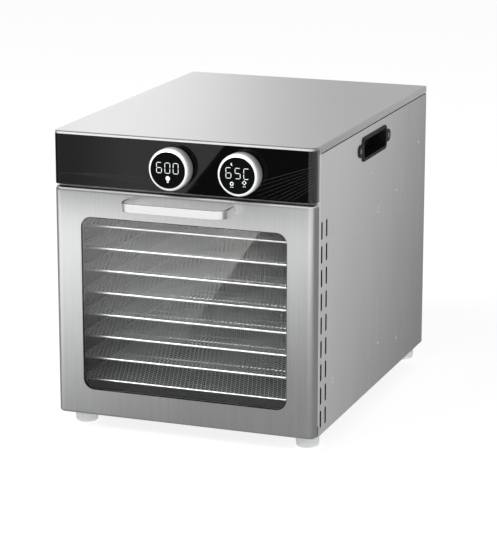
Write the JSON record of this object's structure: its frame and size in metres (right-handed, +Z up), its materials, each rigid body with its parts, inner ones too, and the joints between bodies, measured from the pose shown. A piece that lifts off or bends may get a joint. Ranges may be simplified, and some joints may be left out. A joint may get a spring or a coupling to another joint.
{
  "type": "food dehydrator",
  "caption": "Bench-top food dehydrator: stainless cabinet with a drop-down glass door, sliding mesh trays, rear fan and heater, and display knobs above.",
  "frame": {"origin": "the middle of the whole object's box, on the surface that its feet stand on", "axes": "+Z up, +Y from the door to the rear panel, +X to the right seen from the front"},
  "size_m": [0.3202, 0.469, 0.354],
  "materials": {
    "cover_steel": "brushed, satin",
    "door_steel": "brushed, satin, grain upright",
    "side_steel": "brushed, satin, grain upright",
    "frame_steel": "brushed, satin",
    "liner_steel": "bright rolled",
    "floor_coating": "satin black coating",
    "galvanised_steel": "zinc plated",
    "tray_wire": "bright drawn wire",
    "handle_steel": "fine satin",
    "screw_steel": "bright plated",
    "fan_aluminium": "pressed, bare",
    "knob_aluminium": "bright cut front edge, finely ribbed side",
    "heater_sheath": "heat tinted",
    "motor_can": "zinc plated",
    "black_glass": "high gloss",
    "display_window": "high gloss with lit digits",
    "black_plastic": "fine texture",
    "circuit_board": "solder mask",
    "door_pane": "clear toughened",
    "lamp_cover": "frosted, lit",
    "seal_rubber": "matt",
    "foot_silicone": "translucent white",
    "magnet": "bare ferrite"
  },
  "bodies": {
    "cabinet": {"top_cover": "cover_steel", "left_side_panel": "side_steel", "right_side_panel": "side_steel", "side_rivets": "side_steel", "base_pan": "galvanised_steel", "feet": "foot_silicone", "foot_screws": "screw_steel", "front_frame": "frame_steel", "rear_panel": "side_steel", "rear_screws": "screw_steel", "chamber_right_wall": "liner_steel", "chamber_left_wall": "liner_steel", "chamber_ceiling": "liner_steel", "chamber_floor": "floor_coating", "rear_baffle": "liner_steel", "right_tray_rails": "liner_steel", "left_tray_rails": "liner_steel", "fan_motor": "motor_can", "motor_bracket": "galvanised_steel", "heater_element": "heater_sheath", "heater_clips": "galvanised_steel", "thermal_cutout": "black_plastic", "temperature_probe": "screw_steel", "lamp_lens": "lamp_cover", "lamp_housing": "black_plastic", "control_panel": "black_glass", "knob_encoders": "circuit_board", "power_board": "circuit_board", "power_inlet": "black_plastic", "inlet_pins": "screw_steel", "right_side_grip": "black_plastic", "left_side_grip": "black_plastic", "grip_screws": "screw_steel", "hinge_brackets": "galvanised_steel", "door_magnets": "magnet"},
    "door": {"door_skin": "door_steel", "door_inner_frame": "frame_steel", "hinge_pins": "screw_steel", "door_glass": "door_pane", "glass_gasket": "seal_rubber", "door_handle": "handle_steel", "handle_nuts": "screw_steel", "door_strikes": "galvanised_steel"},
    "tray_1": {"tray_1": "tray_wire"},
    "tray_2": {"tray_2": "tray_wire"},
    "tray_3": {"tray_3": "tray_wire"},
    "tray_4": {"tray_4": "tray_wire"},
    "tray_5": {"tray_5": "tray_wire"},
    "tray_6": {"tray_6": "tray_wire"},
    "tray_7": {"tray_7": "tray_wire"},
    "tray_8": {"tray_8": "tray_wire"},
    "fan": {"fan_shaft": "screw_steel", "fan_nut": "screw_steel", "fan_blades": "fan_aluminium"},
    "left_knob": {"left_knob_core": "black_plastic", "left_knob_display": "display_window"},
    "left_dial": {"left_knob_ring": "knob_aluminium"},
    "right_knob": {"right_knob_core": "black_plastic", "right_knob_display": "display_window"},
    "right_dial": {"right_knob_ring": "knob_aluminium"}
  },
  "joints": [
    {"name": "door_hinge", "type": "hinge", "parent": "cabinet", "child": "door", "pos_m": [0, -0.1935, 0.025], "axis": [1, 0, 0], "range_deg": [0, 84]},
    {"name": "tray_1_slide", "type": "slide", "parent": "cabinet", "child": "tray_1", "axis": [0, -1, 0], "range_m": [0, 0.017]},
    {"name": "tray_2_slide", "type": "slide", "parent": "cabinet", "child": "tray_2", "axis": [0, -1, 0], "range_m": [0, 0.017]},
    {"name": "tray_3_slide", "type": "slide", "parent": "cabinet", "child": "tray_3", "axis": [0, -1, 0], "range_m": [0, 0.017]},
    {"name": "tray_4_slide", "type": "slide", "parent": "cabinet", "child": "tray_4", "axis": [0, -1, 0], "range_m": [0, 0.017]},
    {"name": "tray_5_slide", "type": "slide", "parent": "cabinet", "child": "tray_5", "axis": [0, -1, 0], "range_m": [0, 0.017]},
    {"name": "tray_6_slide", "type": "slide", "parent": "cabinet", "child": "tray_6", "axis": [0, -1, 0], "range_m": [0, 0.017]},
    {"name": "tray_7_slide", "type": "slide", "parent": "cabinet", "child": "tray_7", "axis": [0, -1, 0], "range_m": [0, 0.017]},
    {"name": "tray_8_slide", "type": "slide", "parent": "cabinet", "child": "tray_8", "axis": [0, -1, 0], "range_m": [0, 0.017]},
    {"name": "fan_spin", "type": "hinge", "parent": "cabinet", "child": "fan", "pos_m": [0, 0.1845, 0.154], "axis": [0, 1, 0], "continuous": true},
    {"name": "left_knob_press", "type": "slide", "parent": "cabinet", "child": "left_knob", "axis": [0, 1, 0], "range_m": [0, 0.001], "stiffness_N_per_m": 400, "springref_m": -0.002},
    {"name": "left_knob_turn", "type": "hinge", "parent": "left_knob", "child": "left_dial", "pos_m": [-0.01, -0.2075, 0.321], "axis": [0, 1, 0], "continuous": true},
    {"name": "right_knob_press", "type": "slide", "parent": "cabinet", "child": "right_knob", "axis": [0, 1, 0], "range_m": [0, 0.001], "stiffness_N_per_m": 400, "springref_m": -0.002},
    {"name": "right_knob_turn", "type": "hinge", "parent": "right_knob", "child": "right_dial", "pos_m": [0.0725, -0.2075, 0.321], "axis": [0, 1, 0], "continuous": true}
  ]
}
